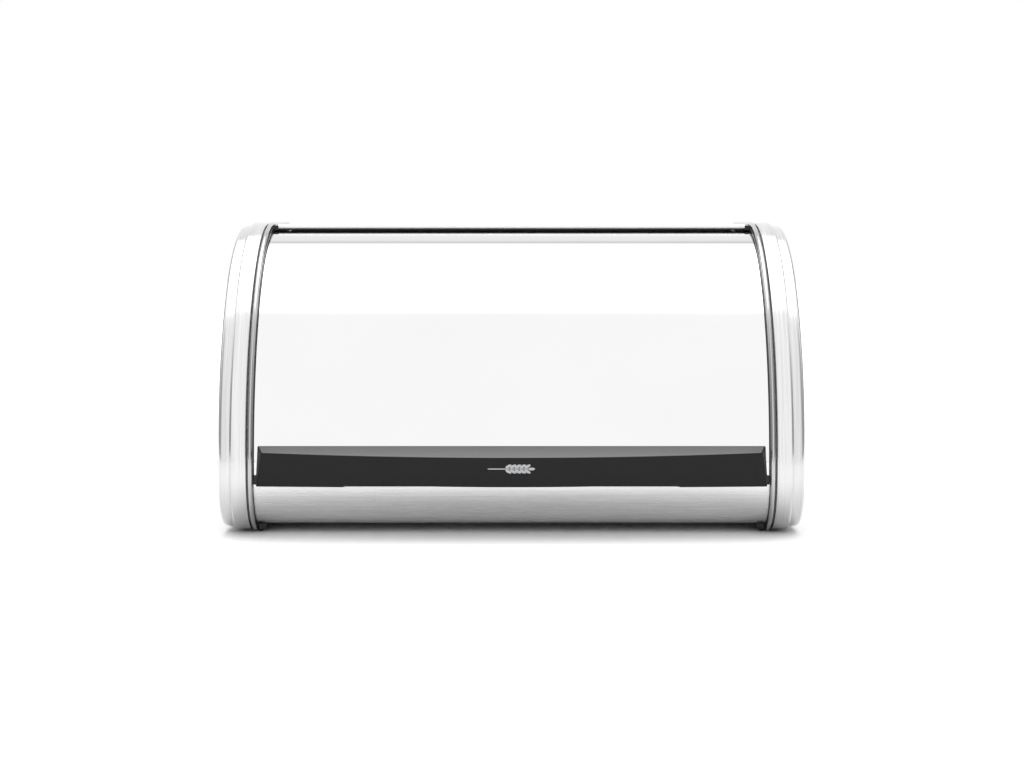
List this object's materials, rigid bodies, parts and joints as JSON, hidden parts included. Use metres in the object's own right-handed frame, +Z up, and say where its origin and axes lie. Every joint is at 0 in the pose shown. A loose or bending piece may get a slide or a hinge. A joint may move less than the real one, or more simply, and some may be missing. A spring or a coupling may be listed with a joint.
{
  "type": "roll-top bread box",
  "caption": "Steel bread box with stepped end caps and a curved lid with a black handle that rolls up and back inside the body.",
  "frame": {"origin": "on the table, under the middle of the outline of the closed box", "axes": "+X across the width to the right seen from the front, +Y to the back, +Z up; the lid and handle face -Y"},
  "size_m": [0.3824, 0.3348, 0.2061],
  "materials": {
    "brushed_caps": "fine brushed grain running round the rim",
    "polished_bead": "polished round bead",
    "bright_lid": "bright polished stainless steel",
    "satin_sheet": "satin, fine grain along the width",
    "black_handle": "satin moulded",
    "pale_print": "flat printed inlay",
    "black_mouldings": "satin moulded",
    "foot_plastic": "smooth moulded",
    "liner_plastic": "fine moulded texture",
    "fastener_steel": "zinc bright"
  },
  "bodies": {
    "box": {"back_and_top_panel": "satin_sheet", "back_seam_rivets": "fastener_steel", "base_pan": "satin_sheet", "foot_screws": "fastener_steel", "front_left_foot": "foot_plastic", "front_right_foot": "foot_plastic", "rear_left_foot": "foot_plastic", "rear_right_foot": "foot_plastic", "left_cap_screws": "fastener_steel", "right_cap_screws": "fastener_steel", "left_edge_bead": "polished_bead", "right_edge_bead": "polished_bead", "left_end_cap": "brushed_caps", "right_end_cap": "brushed_caps", "left_panel_screws": "fastener_steel", "right_panel_screws": "fastener_steel", "left_side_liner": "liner_plastic", "right_side_liner": "liner_plastic", "left_track_frame": "black_mouldings", "right_track_frame": "black_mouldings", "lid_wiper_strip": "black_mouldings"},
    "roll_lid": {"lid_sheet": "bright_lid", "lid_handle": "black_handle", "handle_mark": "pale_print", "handle_screws": "fastener_steel", "left_front_shoe": "black_mouldings", "right_front_shoe": "black_mouldings", "left_rear_shoe": "black_mouldings", "right_rear_shoe": "black_mouldings", "lid_rear_bar": "black_mouldings", "rear_shoe_rivets": "fastener_steel"}
  },
  "joints": [
    {"name": "lid_roll", "type": "hinge", "parent": "box", "child": "roll_lid", "pos_m": [0, 0.0035, 0.0421], "axis": [-1, 0, 0], "range_deg": [0, 75]}
  ]
}
